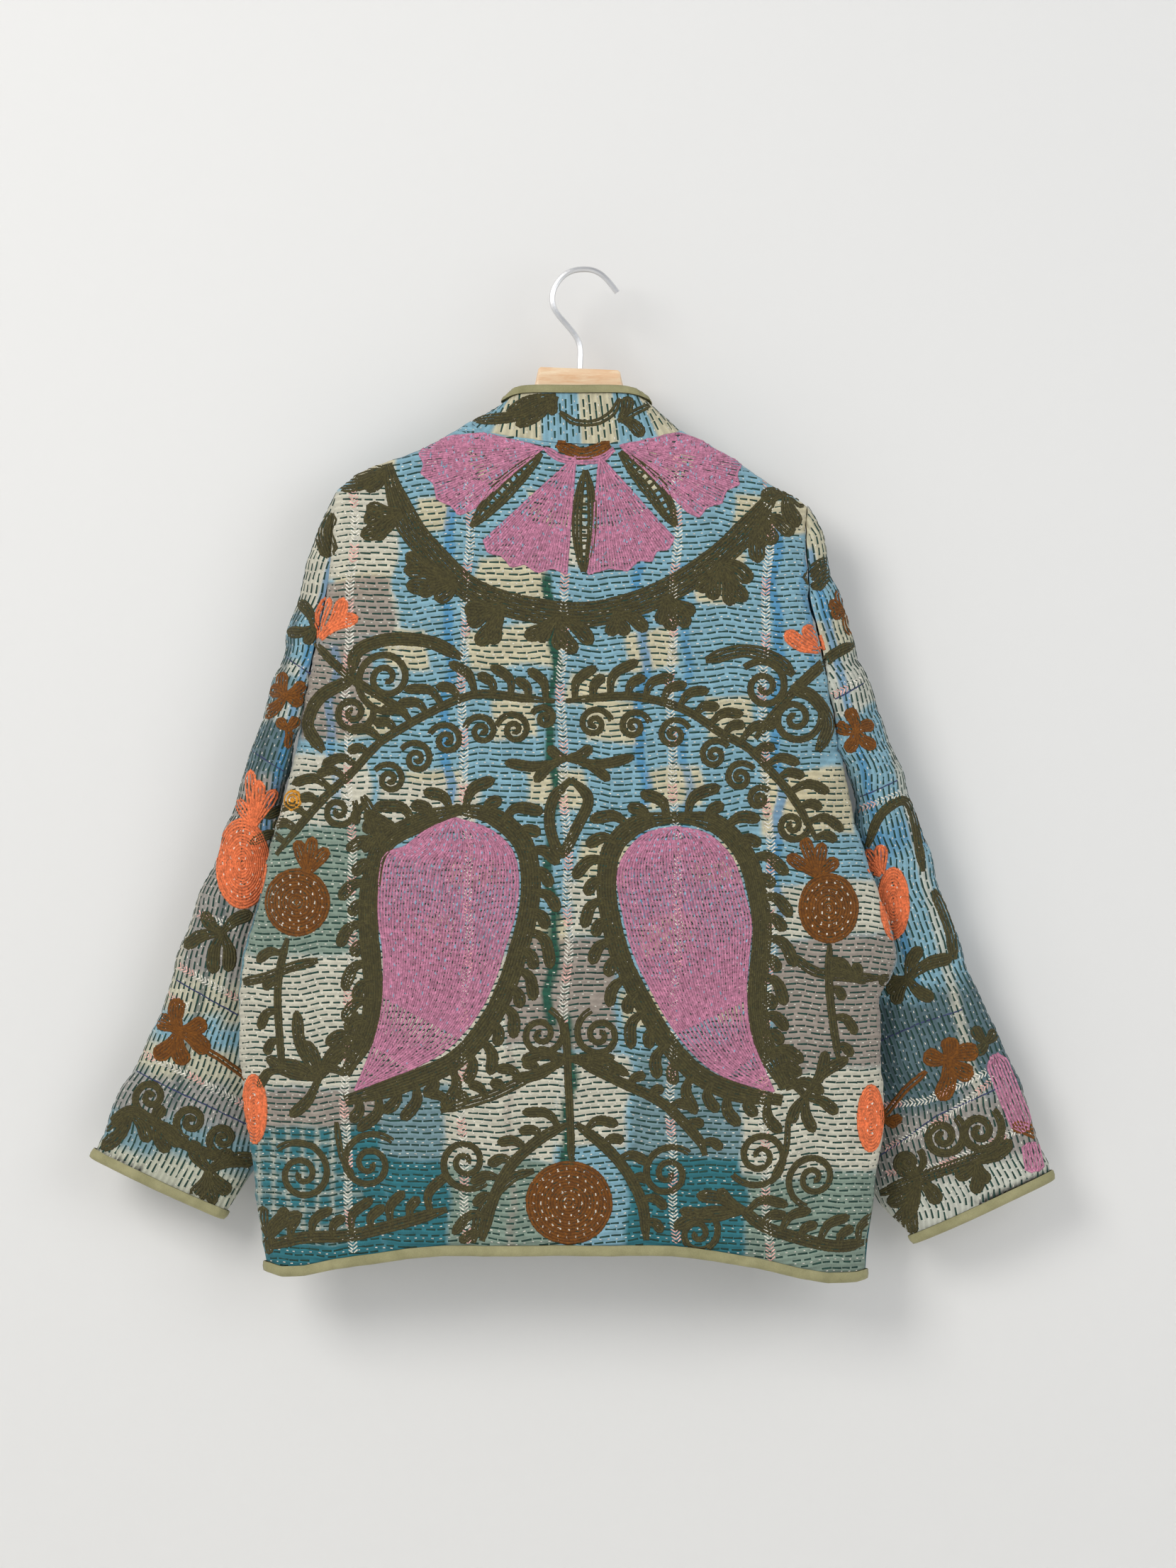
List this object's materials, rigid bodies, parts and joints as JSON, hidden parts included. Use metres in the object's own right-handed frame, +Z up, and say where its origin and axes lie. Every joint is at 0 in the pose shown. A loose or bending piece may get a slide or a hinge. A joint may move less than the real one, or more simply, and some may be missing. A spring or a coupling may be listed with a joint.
{
  "type": "quilted jacket on a wooden hanger",
  "caption": "Hanging quilted open jacket with embroidered back, collar band, two sleeves and bound edges on a wooden hanger with a wire hook, for rooms, shops and wardrobes.",
  "frame": {"origin": "where the hook's inner top rests on a peg", "axes": "+Z up along the hung jacket, +X to the right as the jacket's back is seen, +Y from the back towards the fronts"},
  "size_m": [0.8188, 0.1066, 0.8623],
  "materials": {
    "quilted_plaid": "matt quilted cotton, patched plaid with running stitches and raised chain-stitch embroidery",
    "binding": "matt plain cotton binding, sage green",
    "hanger_wood": "pale beech, clear satin lacquer",
    "hook_metal": "satin chromed wire"
  },
  "bodies": {
    "root": {"back_upper": "quilted_plaid", "back_lower": "quilted_plaid", "front_left": "quilted_plaid", "front_right": "quilted_plaid", "sleeve_left": "quilted_plaid", "sleeve_right": "quilted_plaid", "collar_band": "quilted_plaid", "band_binding": "binding", "hem_binding": "binding", "cuff_binding_left": "binding", "cuff_binding_right": "binding", "hanger_bar": "hanger_wood", "hanger_hook": "hook_metal"}
  },
  "joints": []
}
